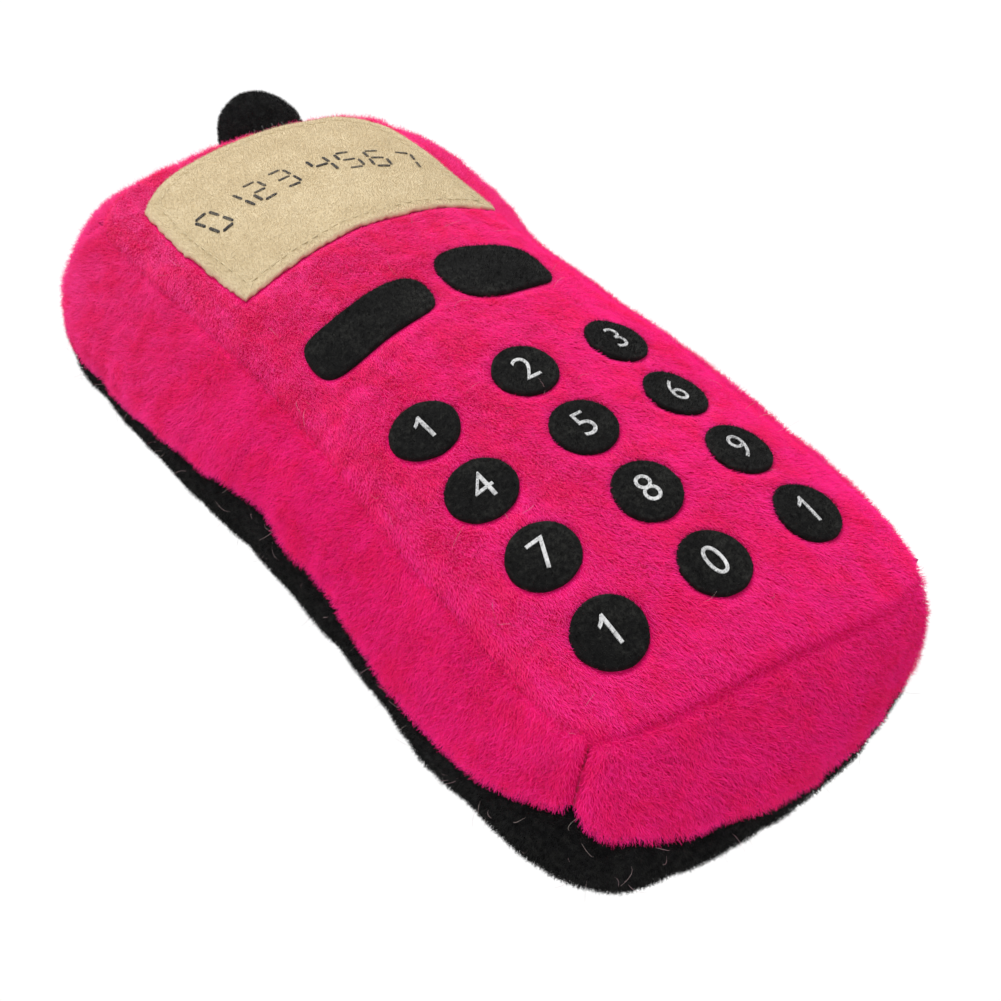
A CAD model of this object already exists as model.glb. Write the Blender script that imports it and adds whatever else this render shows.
# A stuffed toy telephone lying on its back. The black underside rests near z = 0 and the pink
# front, with its screen patch and keys, faces +Z. The top end and antenna point to +Y, and
# "left" is -X. Sizes are in millimetres unless noted; meshes are turned into metres when made.
import math
from functools import partial

import bmesh
import bpy
import numpy as np
from mathutils import Matrix, Vector
from mathutils.kdtree import KDTree


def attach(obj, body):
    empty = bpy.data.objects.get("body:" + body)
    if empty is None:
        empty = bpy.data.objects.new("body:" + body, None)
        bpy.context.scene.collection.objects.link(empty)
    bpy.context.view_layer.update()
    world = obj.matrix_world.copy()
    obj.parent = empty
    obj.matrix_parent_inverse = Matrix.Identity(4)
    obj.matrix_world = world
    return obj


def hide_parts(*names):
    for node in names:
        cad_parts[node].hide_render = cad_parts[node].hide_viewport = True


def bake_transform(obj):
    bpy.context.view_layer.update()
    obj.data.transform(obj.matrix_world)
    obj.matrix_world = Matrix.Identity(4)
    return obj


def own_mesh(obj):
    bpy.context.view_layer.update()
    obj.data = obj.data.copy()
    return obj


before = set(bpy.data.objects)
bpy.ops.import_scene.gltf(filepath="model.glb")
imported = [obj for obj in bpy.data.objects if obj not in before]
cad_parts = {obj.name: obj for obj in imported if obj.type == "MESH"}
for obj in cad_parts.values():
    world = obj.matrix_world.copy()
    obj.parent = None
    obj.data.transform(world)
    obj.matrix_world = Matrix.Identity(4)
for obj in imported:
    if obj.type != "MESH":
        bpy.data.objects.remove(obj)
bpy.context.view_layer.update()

MM = 0.001
scene = bpy.context.scene


# ---- small maths kit --------------------------------------------------------------------------


def detail(count):
    """Segment count, lowered for a quick build."""
    return max(6, int(count * (1.0)))


def clamp(value):
    return np.clip(value, 0, 1)


def hump(value):
    return np.exp(-value**2)


def unit(vectors):
    return vectors / (np.linalg.norm(vectors, axis=-1, keepdims=True) + 1e-12)


def with_z(xy, z):
    """Plan points (..., 2) given a height."""
    return np.concatenate([xy, np.broadcast_to(z, xy.shape[:-1])[..., None]], -1)


def run_length(points):
    """Distance run along an open line, at each of its points."""
    steps = np.linalg.norm(np.diff(points, axis=0), axis=1)
    return np.concatenate([[0], np.cumsum(steps)])


def points_at(where, lengths, points):
    columns = [np.interp(where, lengths, column) for column in points.T]
    return np.stack(columns, -1)


def resample_closed(outline, count):
    """Evenly spaced points round a closed outline, and its length."""
    line = np.vstack([outline, outline[:1]])
    lengths = run_length(line)
    where = np.linspace(0, lengths[-1], count, endpoint=False)
    return points_at(where, lengths, line), lengths[-1]


def hermite(t, start, start_slope, end, end_slope):
    return ((2 * t**3 - 3 * t**2 + 1) * start + (t**3 - 2 * t**2 + t) * start_slope
            + (-2 * t**3 + 3 * t**2) * end + (t**3 - t**2) * end_slope)


def lattice_value(ix, iy, iz, seed):
    """Repeatable random value 0..1 for each lattice cell."""
    mixed = ix * 374761393 + iy * 668265263 + iz * 2147483647 + seed * 974634777
    mixed = mixed & 0xFFFFFFFF
    mixed = ((mixed ^ (mixed >> 13)) * 1274126177) & 0xFFFFFFFF
    mixed = (mixed ^ (mixed >> 16)) & 0xFFFFFFFF
    return mixed.astype(np.float64) / 4294967295.0


def noise3(points, scale, seed):
    """Smooth noise in -1..1 at points (..., 3), with features about 'scale' wide."""
    place = np.asarray(points, float) / scale + 1000.0
    cell = np.floor(place).astype(np.int64)
    part = place - cell
    part = part * part * part * (part * (part * 6 - 15) + 10)
    total = 0.0
    for corner in np.ndindex(2, 2, 2):
        weight = np.where(corner, part, 1 - part).prod(-1)
        total = total + weight * lattice_value(*np.moveaxis(cell + corner, -1, 0), seed)
    return total * 2 - 1


def fbm(points, scale, octaves, seed):
    """Noise summed over octaves, each half the size and half the strength of the last."""
    total, weight, weight_sum = 0.0, 1.0, 0.0
    for octave in range(octaves):
        total = total + weight * noise3(points, scale, seed + 17 * octave)
        weight_sum += weight
        weight *= 0.5
        scale *= 0.5
    return total / weight_sum


PUCKER_PERIOD = 480.0
PUCKER_WAVES = (9, 14, 19, 27, 34, 43, 52, 67, 81, 104)


def pucker(arc, seed):
    """Irregular seam pucker along an arc length, about -1..1."""
    random = np.random.default_rng(seed)
    total = 0
    for count in PUCKER_WAVES:
        total = total + random.uniform(0.3, 1.0) * np.sin(
            2 * np.pi * count * arc / PUCKER_PERIOD + random.uniform(0, 6.28))
    return total / 3.0


class ClosedCurve:
    """Smooth closed curve through points; its parameter runs from 0 to their count."""

    def __init__(self, points):
        points = np.array(points, float)
        self.count = len(points)
        turns = np.arange(self.count) / self.count
        response = (4 + 2 * np.cos(2 * np.pi * turns)) / 6.0
        spectrum = np.fft.fft(points, axis=0) / response[:, None]
        self.controls = np.real(np.fft.ifft(spectrum, axis=0))

    def __call__(self, place, slope=False):
        place = np.asarray(place, float) % self.count
        first = np.floor(place).astype(int)
        t = (place - first)[..., None]
        if slope:
            weights = (-(1 - t)**2 / 2, (9 * t**2 - 12 * t) / 6,
                       (-9 * t**2 + 6 * t + 3) / 6, t**2 / 2)
        else:
            weights = ((1 - t)**3 / 6, (3 * t**3 - 6 * t**2 + 4) / 6,
                       (-3 * t**3 + 3 * t**2 + 3 * t + 1) / 6, t**3 / 6)
        return sum(weight * self.controls[(first + k - 1) % self.count]
                   for k, weight in enumerate(weights))

    def normal(self, place):
        along = self(place, slope=True)
        across = np.stack([-along[..., 1], along[..., 0]], -1)
        return across / np.linalg.norm(across, axis=-1, keepdims=True)

    def arc(self, place, samples=3000):
        """Arc length from the curve's start."""
        steps = np.linspace(0, self.count, samples)
        return np.interp(np.asarray(place) % self.count, steps, run_length(self(steps)))

    def nearest(self, point):
        steps = np.linspace(0, self.count, 6001)
        return steps[np.argmin(np.linalg.norm(self(steps) - np.array(point), axis=1))]


# ---- the toy's outlines and surfaces ----------------------------------------------------------

# Plan outlines (x, y), each half running from the bottom end to the top end.
BACK_LEFT = [
    (0, -86.5), (-20.9, -84.9), (-34.6, -80.9), (-41.9, -68.7), (-43.9, -54.3), (-44.4, -36.7),
    (-44.1, -17.4), (-44.9, 2.0), (-46.4, 20.0), (-48.9, 36.8), (-50.5, 53.9), (-49.5, 69.3),
    (-43.6, 83.1), (-32.0, 92.0), (-17.1, 95.9), (0, 97.1)]
BACK_RIGHT = [
    (0, -86.5), (18.9, -84.2), (32.0, -78.8), (39.3, -67.2), (42.2, -53.8), (43.1, -35.8),
    (42.4, -15.9), (42.0, 2.4), (41.8, 20.4), (43.7, 37.3), (46.8, 54.4), (47.6, 69.6),
    (43.2, 83.3), (32.4, 92.1), (17.6, 95.8), (0, 97.1)]
FRONT_LEFT = [
    (0, -74.4), (-14.3, -72.9), (-25.5, -71.2), (-32.3, -67.2), (-34.0, -55.6), (-34.2, -36.5),
    (-33.7, -15.0), (-32.4, 4.2), (-32.1, 22.4), (-32.8, 39.2), (-33.9, 55.9), (-35.1, 69.6),
    (-33.3, 80.9), (-24.9, 88.2), (-12.6, 91.6), (0, 92.9)]
FRONT_RIGHT = [
    (0, -74.4), (14.3, -76.2), (25.6, -76.0), (32.0, -70.4), (33.7, -56.0), (34.2, -36.2),
    (34.0, -14.5), (32.5, 4.7), (31.6, 22.8), (32.0, 39.4), (33.2, 56.0), (34.8, 69.4),
    (33.3, 81.0), (25.2, 88.7), (12.9, 92.0), (0, 92.9)]
BACK_EDGE = ClosedCurve(BACK_LEFT + BACK_RIGHT[::-1][1:-1])
FRONT_EDGE = ClosedCurve(FRONT_LEFT + FRONT_RIGHT[::-1][1:-1])
EDGE_COUNT = BACK_EDGE.count

# Screen patch outline (x, y), clockwise from its low left corner.
PATCH = [
    (-25.6, 36.8), (-26.8, 49.0), (-27.5, 61.5), (-27.0, 74.9), (-21.0, 81.2), (-12.0, 85.8),
    (-2.0, 88.6), (8.0, 89.8), (17.7, 88.8), (26.0, 85.2), (31.6, 77.3), (32.7, 66.0),
    (32.4, 53.5), (32.4, 39.4), (21.3, 38.9), (9.0, 39.2), (-5.0, 38.8), (-16.0, 37.5)]
PATCH_CORNERS = (0, 3, 10, 13)  # low left, top left, top right, low right

# Soft key outlines (x, y).
SOFT_LEFT = ClosedCurve([
    (-25.5, 13.2), (-24.6, 17.9), (-21.6, 19.5), (-15.0, 20.2), (-7.5, 21.0), (-2.6, 20.5),
    (-0.6, 17.4), (-1.2, 12.6), (-3.4, 10.1), (-8.0, 9.4), (-14.5, 8.9), (-21.0, 8.4),
    (-24.5, 9.6)])
SOFT_RIGHT = ClosedCurve([
    (3.3, 15.5), (4.2, 20.4), (7.2, 22.9), (12.4, 23.2), (18.0, 22.4), (22.6, 20.8),
    (24.3, 17.2), (23.9, 12.2), (22.2, 8.8), (17.6, 7.4), (11.1, 7.0), (6.4, 8.0),
    (4.0, 10.9)])

KEY_RADIUS = 5.7
KEY_PITCH_X, KEY_PITCH_Y, KEY_TOP_ROW = 20.0, 15.4, -11.9
KEY_NAMES = "1 2 3 4 5 6 7 8 9 bottom_left 0 bottom_right".split()
KEYS = [("key_" + name,
         ((i % 3 - 1) * KEY_PITCH_X, KEY_TOP_ROW - (i // 3) * KEY_PITCH_Y),
         name if name.isdigit() else "1")
        for i, name in enumerate(KEY_NAMES)]

# Height of the front along its middle line, by y.
CROWN_Y = np.array([-120, -100, -74.4, -68, -58, -46, -35, -15, 5, 25, 45, 60, 75, 85, 92.9,
                    110, 130], float)
CROWN_Z = np.array([9.0, 18.0, 29.9, 33.0, 35.3, 37.0, 38.0, 39.2, 39.4, 38.8, 37.4, 35.8,
                    33.6, 31.5, 29.3, 24.0, 18.0])
CROWN_SLOPE = np.gradient(CROWN_Z, CROWN_Y)
CROWN_SLOPE[1:-1] = (CROWN_Z[2:] - CROWN_Z[:-2]) / (CROWN_Y[2:] - CROWN_Y[:-2])
# Half width of the front, by y.
HALF_Y = [-130, -73, -55, -36, -14, 4, 22, 39, 56, 68, 93, 130]
HALF_W = [33.5, 33.5, 33.7, 34.2, 34.2, 32.3, 31.7, 32.3, 33.4, 35.0, 35.5, 35.5]

SEAM_Z = 17.4           # mean height of the seam between black and pink
SEAM_GAP = 0.3          # each cloth stops this far from the seam
BACK_INSET, BACK_POWER, BACK_BULGE = 8.0, 2.5, 0.7
GUSSET_BULGE, FRONT_POWER = 1.3, 2.2
SKIN = 0.9              # the cloth sits this far in, and the pile makes it up
THICKNESS = 1.4         # of the cloth
APPLIQUE_RISE = 0.02
APPLIQUE_DEPTH = 0.85   # underside of the sewn-on pieces, below the front's top

# Corner seams: (point on the front outline, point on the back outline).
CORNERS = {"bl": ((-32.0, -68.6), (-37.6, -77.0)), "br": ((31.8, -72.2), (36.2, -76.0)),
           "tl": ((-33.4, 81.0), (-42.2, 84.6)), "tr": ((33.3, 81.0), (42.0, 84.8))}
SIDES = (("bl", "tl"), ("tl", "tr"), ("tr", "br"), ("br", "bl"))
FRONT_AT = {key: FRONT_EDGE.nearest(points[0]) for key, points in CORNERS.items()}
BACK_AT = {key: BACK_EDGE.nearest(points[1]) for key, points in CORNERS.items()}
BACK_AT["bl"] += 0.25   # this corner seam slants a little towards the long side

# Height of the black seam against its mean, and how far the side is drawn in; one entry per
# half step of the outline parameter.
SEAM_LIFT = [
    -4.0, -3.2, -1.6, 0.2, 1.3, 1.6, 1.3, 0.6, -2.2, -3.0, -3.8, -2.4, 0.4, -0.9, 1.6, 0.4,
    -2.2, -1.6, -2.6, -4.8, -5.6, -5.6, -5.0, -4.0, -1.6, -0.3, 0.5, 0.2, -0.4, 0.3, -0.3, 0.4,
    0.1, -0.5, -0.2, 0.4, -0.3, 0.2, 0.5, -0.2, -0.4, 0.3, 0.2, -0.6, 0.3, 0.1, -0.5, 0.4,
    0.2, -0.4, 0.3, -0.2, -0.8, -1.2, -2.0, -3.0, -3.8, -4.6, -5.0, -4.8]
SIDE_IN = [
    -0.5, -0.1, -0.5, -0.7, -0.1, 0, 0, 0, 0, 0, -0.2, -0.5, 0, 0, 0, -0.1, 0, 0, -0.5, -1.4,
    -2.0, -1.5, -1.1, -1.1, -0.5, 0, 0, 0, 0, 0.3, 0, 0, 0, 0, 0, 0, 0, -0.2, -0.7, -0.7,
    -0.3, -0.5, -1.4, -1.5, -1.1, -0.3, 0, 0, 0, 0, -0.2, -0.8, -0.6, -0.8, -1.7, -2.3, -1.8,
    -1.7, -1.4, -0.9]


def crown(y):
    """Height of the front's middle line."""
    y = np.clip(y, CROWN_Y[0], CROWN_Y[-1] - 1e-6)
    i = np.clip(np.searchsorted(CROWN_Y, y, side="right") - 1, 0, len(CROWN_Y) - 2)
    step = CROWN_Y[i + 1] - CROWN_Y[i]
    return hermite((y - CROWN_Y[i]) / step, CROWN_Z[i], CROWN_SLOPE[i] * step,
                   CROWN_Z[i + 1], CROWN_SLOPE[i + 1] * step)


def front_z(xy):
    """Height of the stuffed front, as sewn."""
    x, y = xy[..., 0], xy[..., 1]
    # the bottom end is skewed
    y = y + 0.09 * np.clip(x, -36, 36) * clamp((-40.0 - y) / 25.0)
    edge = 30.2 - 1.6 * (y / 90.0) ** 2 - 0.5 * np.clip(x, -45, 45) / 35.0
    top = crown(y)
    edge = np.minimum(edge, top)
    out = np.abs(x) / np.interp(y, HALF_Y, HALF_W)
    domed = edge + (top - edge) * (1.0 - np.minimum(out, 1.0) ** FRONT_POWER)
    return np.where(out <= 1.0, domed, edge - (top - edge) * 1.7 * (out - 1.0))


def front_top(xy):
    """The front with the slow unevenness of its stuffing, where the sewn-on pieces lie."""
    points = with_z(xy, 0)
    return front_z(xy) + (0.55 * fbm(points, 26.0, 2, 3) + 0.25 * fbm(points, 9.0, 2, 11))


def nearest_on(xy, curve, samples=1600):
    """Distance to a closed curve, and the arc length of its nearest point."""
    line = curve(np.arange(samples) * curve.count / samples)
    arcs = run_length(line)
    tree = KDTree(samples)
    for i, point in enumerate(line):
        tree.insert((*point, 0), i)
    tree.balance()
    found = [tree.find((*point, 0)) for point in xy.reshape(-1, 2)]
    distance = np.array([hit[2] for hit in found])
    arc = np.array([arcs[hit[1]] for hit in found])
    return distance.reshape(xy.shape[:-1]), arc.reshape(xy.shape[:-1])


def smooth_table(values, place):
    """Smoothed closed table over the outline parameter, one entry per half step."""
    values = np.array(values, float)
    fine = np.interp(np.arange(1200) / 20.0, np.arange(len(values) + 1),
                     np.append(values, values[0]))
    kernel = hump(np.linspace(-2, 2, 31))
    padded = np.concatenate([fine[-15:], fine, fine[:15]])
    fine = np.convolve(padded, kernel / kernel.sum(), mode="valid")
    where = (np.asarray(place, float) % 30.0) * 40.0
    return np.interp(where, np.arange(1201), np.append(fine, fine[0]))


def seam_lift(place):
    """Seam height against its mean, with a kick up where the low left corner seam meets it."""
    place = np.asarray(place, float)
    away = (place - BACK_AT["bl"] + EDGE_COUNT / 2) % EDGE_COUNT - EDGE_COUNT / 2
    kick = 1.5 * hump(away / 0.13) + 1.4 * hump((away - 0.25) / 0.35)
    return smooth_table(SEAM_LIFT, place) + kick


def corner_span(corner_at, first, last):
    """Outline parameters of two corners, the second always the larger."""
    start, end = corner_at[first], corner_at[last]
    return start, (end + EDGE_COUNT if end < start else end)


def front_opposite(place):
    """Point of the front outline that lies opposite a place on the back outline."""
    place = np.asarray(place, float) % EDGE_COUNT
    opposite = np.zeros_like(place)
    for first, last in SIDES:
        start, end = corner_span(BACK_AT, first, last)
        front_start, front_end = corner_span(FRONT_AT, first, last)
        turned = np.where(place < start, place + EDGE_COUNT, place)
        matched = front_start + (front_end - front_start) * (turned - start) / (end - start)
        opposite = np.where((turned >= start) & (turned <= end), matched, opposite)
    return FRONT_EDGE(opposite)


def side_xy(place, z):
    """Plan position of the stuffed side at an outline parameter and height."""
    back, front = BACK_EDGE(place), front_opposite(place)
    above = (z - SEAM_Z - SEAM_GAP) / (front_z(front) - 1.0 - SEAM_Z - SEAM_GAP)
    up = clamp(above)
    down = clamp(1 - z / (SEAM_Z - SEAM_GAP))
    tuck = 1 - (1 - down**BACK_POWER) ** (1 / BACK_POWER)
    below = (-BACK_INSET * 1.25 * tuck + (BACK_BULGE + 0.35) * np.sin(math.pi * down)
             - SKIN * 0.6 - 0.4 * SKIN * np.exp(-down * SEAM_Z / 2.0))
    out = np.where(above > 0, GUSSET_BULGE * np.sin(math.pi * up) - SKIN, below)
    out = out + smooth_table(SIDE_IN, place) * (1 - up**3)
    return back + (front - back) * up[..., None] + BACK_EDGE.normal(place) * out[..., None]


# ---- materials --------------------------------------------------------------------------------


def set_inputs(node, inputs):
    """Sets a node's inputs: a socket is linked, anything else becomes the value."""
    for key, value in inputs.items():
        if isinstance(value, bpy.types.NodeSocket):
            node.id_data.links.new(value, node.inputs[key])
        else:
            node.inputs[key].default_value = value


def add_node(tree, kind, inputs=None, output=0, **properties):
    """Adds a node and returns one of its output sockets."""
    node = tree.nodes.new(kind)
    for name, value in properties.items():
        setattr(node, name, value)
    set_inputs(node, inputs or {})
    return node.outputs[output]


def new_material(name):
    """Material with a bare principled surface, and a function that adds nodes to it."""
    material = bpy.data.materials.new(name)
    material.use_nodes = True
    tree = material.node_tree
    tree.nodes.clear()
    output = tree.nodes.new("ShaderNodeOutputMaterial")
    surface = tree.nodes.new("ShaderNodeBsdfPrincipled")
    tree.links.new(surface.outputs[0], output.inputs[0])
    return material, surface, partial(add_node, tree)


def linear(rgb):
    """Display colour 0..255 as linear RGBA."""
    parts = [level / 255.0 for level in rgb]
    return tuple(part / 12.92 if part <= 0.04045 else ((part + 0.055) / 1.055) ** 2.4
                 for part in parts) + (1.0,)


def ramp(add, factor, stops):
    socket = add("ShaderNodeValToRGB", {0: factor})
    elements = socket.node.color_ramp.elements
    while len(elements) < len(stops):
        elements.new(0.5)
    for element, (position, colour) in zip(elements, stops):
        element.position = position
        element.color = colour
    return socket


def object_coords(add):
    return add("ShaderNodeTexCoord", output="Object")


def stretched_coords(add, streak):
    return add("ShaderNodeMapping", {0: object_coords(add), "Scale": streak})


def noise(add, vector, scale, detail_level, **inputs):
    return add("ShaderNodeTexNoise",
               {"Vector": vector, "Scale": scale, "Detail": detail_level, **inputs})


def times(add, value, factor):
    return add("ShaderNodeMath", {0: value, 1: factor}, operation="MULTIPLY")


def mix_colours(add, factor, first, second):
    return add("ShaderNodeMix", {0: factor, 6: first, 7: second}, output=2,
               data_type="RGBA", blend_type="MIX")


def smooth_range(add, value, low, high, amount):
    """0 at 'low', rising smoothly to 'amount' at 'high'."""
    return add("ShaderNodeMapRange", {"Value": value, "From Min": low, "From Max": high,
                                      "To Min": 0.0, "To Max": amount},
               interpolation_type="SMOOTHSTEP")


def fine_bump(add, height, strength, distance):
    return add("ShaderNodeBump", {"Strength": strength, "Distance": distance,
                                  "Height": height})


def cloth_material(name, colours, sheen, scale=900.0, bump=0.5, streak=(1, 1, 1),
                   tint=(1, 1, 1, 1)):
    """Pile or felt: colours (dark, mid, light) mottled at two scales, with fibre bump."""
    material, surface, add = new_material(name)
    place = stretched_coords(add, streak)
    coarse = noise(add, place, 90.0, 5.0, Roughness=0.6)
    fine = noise(add, place, scale, 3.0, Roughness=0.7)
    mottle = add("ShaderNodeMath", {0: times(add, coarse, 0.45), 1: times(add, fine, 0.55)},
                 operation="ADD")
    stops = zip((0.30, 0.5, 0.72), map(linear, colours))
    set_inputs(surface, {
        "Base Color": ramp(add, mottle, list(stops)),
        "Roughness": 0.92,
        "Specular IOR Level": 0.2,
        "Sheen Weight": sheen,
        "Sheen Roughness": 0.45,
        "Sheen Tint": tint,
        "Normal": fine_bump(add, fine, bump, 0.0004)})
    return material


def hair_material(name, root, tip, other, sheen, head=None, mottle=None, specular=0.25):
    """Pile fibre: coloured from root to tip and mixed with 'other' at random.

    'head' is the paler colour towards the antenna end. 'mottle' is (colour, noise scale,
    amount, streak) for patches where the pile parts and shows deeper colour.
    """
    material, surface, add = new_material(name)
    intercept = add("ShaderNodeHairInfo", output="Intercept")
    along = ramp(add, intercept, [(0.0, linear(root)), (0.55, linear(tip)), (1.0, linear(tip))])
    random = ramp(add, intercept.node.outputs["Random"],
                  [(0.0, (0, 0, 0, 1)), (1.0, (1, 1, 1, 1))])
    colour = mix_colours(add, times(add, random, 0.6), along, linear(other))
    if head is not None:
        y = add("ShaderNodeSeparateXYZ", {0: object_coords(add)}, output=1)
        # in metres, from just below the middle to the top end
        toward_head = smooth_range(add, y, low=-0.01, high=0.10, amount=0.40)
        colour = mix_colours(add, toward_head, colour, linear(head))
    if mottle is not None:
        deep, scale, amount, streak = mottle
        patches = noise(add, stretched_coords(add, streak), scale, 4.0, Roughness=0.6)
        parted = smooth_range(add, patches, low=0.42, high=0.64, amount=amount)
        colour = mix_colours(add, parted, colour, linear(deep))
    set_inputs(surface, {"Base Color": colour, "Roughness": 0.75,
                         "Specular IOR Level": specular, "Sheen Weight": sheen})
    return material


def thread_material(name, dark, light):
    """Twisted thread with fine ply bands."""
    material, surface, add = new_material(name)
    bands = add("ShaderNodeTexWave", {"Vector": object_coords(add), "Scale": 1400.0,
                                      "Distortion": 1.5, "Detail": 2.0}, output="Fac")
    set_inputs(surface, {
        "Base Color": ramp(add, bands, [(0.2, linear(dark)), (0.8, linear(light))]),
        "Roughness": 0.6,
        "Normal": fine_bump(add, bands, 0.5, 0.0001)})
    return material


def plastic_material(name, rgb, roughness, transmission=0.0, subsurface=0.0):
    material, surface, add = new_material(name)
    mottle = noise(add, object_coords(add), 260.0, 4.0)
    colour = linear(rgb)
    darker = tuple(part * 0.9 for part in colour[:3]) + (1,)
    set_inputs(surface, {
        "Base Color": ramp(add, mottle, [(0.35, darker), (0.65, colour)]),
        "Roughness": add("ShaderNodeMapRange", {"Value": mottle, "To Min": roughness - 0.06,
                                                "To Max": roughness + 0.08}),
        "Subsurface Weight": subsurface,
        "Subsurface Scale": 0.002,
        "Transmission Weight": transmission,
        "Normal": fine_bump(add, mottle, 0.15, 0.0001)})
    return material


PINK_PLUSH = cloth_material("pink_plush", ((180, 0, 76), (210, 0, 96), (226, 10, 116)),
                            sheen=0.08, tint=(1.0, 0.55, 0.8, 1))
BLACK_PLUSH = cloth_material("black_plush", ((2, 2, 3), (7, 7, 8), (22, 22, 23)),
                             sheen=0.02, tint=(0.8, 0.85, 1, 1))
BLACK_FELT = cloth_material("black_felt", ((2, 2, 2), (9, 9, 9), (44, 44, 41)),
                            sheen=0.01, scale=1200.0, bump=0.4)
CREAM_VELOUR = cloth_material(
    "cream_velour", ((182, 163, 128), (198, 181, 147), (210, 196, 166)),
    sheen=0.1, scale=1500.0, bump=0.3, tint=(1, 0.95, 0.85, 1))
LINING = cloth_material("backing_cloth", ((150, 10, 70), (190, 30, 100), (210, 60, 120)),
                        sheen=0.0, scale=2200.0)
FIBRE = cloth_material("fibre_fill", ((215, 215, 210), (236, 236, 232), (250, 250, 248)),
                       sheen=0.4, scale=500.0, streak=(1, 0.3, 1.7))
WHITE_PRINT = cloth_material("white_print", ((78, 78, 79), (186, 186, 187), (226, 226, 226)),
                             sheen=0.0, scale=1600.0, bump=0.3)
DARK_PRINT = cloth_material("dark_print", ((26, 26, 30), (44, 44, 48), (110, 104, 92)),
                            sheen=0.0, scale=1600.0, bump=0.3)
FRONT_PILE = hair_material(
    "pink_pile_front", (234, 0, 112), (254, 8, 146), (255, 56, 178), sheen=0.15,
    head=(250, 112, 190), mottle=((248, 0, 100), 190.0, 0.5, (1, 0.55, 1)))
PINK_PILE = hair_material(
    "pink_pile", (226, 0, 100), (242, 0, 126), (248, 40, 160), sheen=0.1,
    head=(248, 96, 176), mottle=((236, 0, 88), 170.0, 0.45, (1, 1, 1)))
BLACK_PILE = hair_material(
    "black_pile", (2, 2, 3), (5, 5, 6), (18, 18, 19), sheen=0.0, specular=0.14,
    mottle=((46, 46, 44), 900.0, 0.8, (1, 1, 1)))
LINT = hair_material("pale_lint", (150, 140, 135), (190, 180, 172), (225, 170, 190), sheen=0.0)
CREAM_PILE = hair_material("cream_pile", (192, 174, 140), (204, 188, 157), (212, 200, 175),
                           sheen=0.05)
CREAM_THREAD = thread_material("cream_thread", (178, 160, 124), (210, 194, 158))
PINK_THREAD = thread_material("pink_thread", (170, 6, 66), (224, 30, 108))
BLACK_THREAD = thread_material("black_thread", (10, 10, 11), (36, 36, 38))
VINYL = plastic_material("squeaker_vinyl", (238, 234, 222), roughness=0.4, subsurface=0.2)
PLUG = plastic_material("squeaker_plug_plastic", (243, 243, 240), roughness=0.35)
REED = plastic_material("reed_film", (222, 222, 226), roughness=0.22, transmission=0.3)


# ---- pile: fibres grown on a mesh where its "pile" attribute is above zero --------------------


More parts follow.
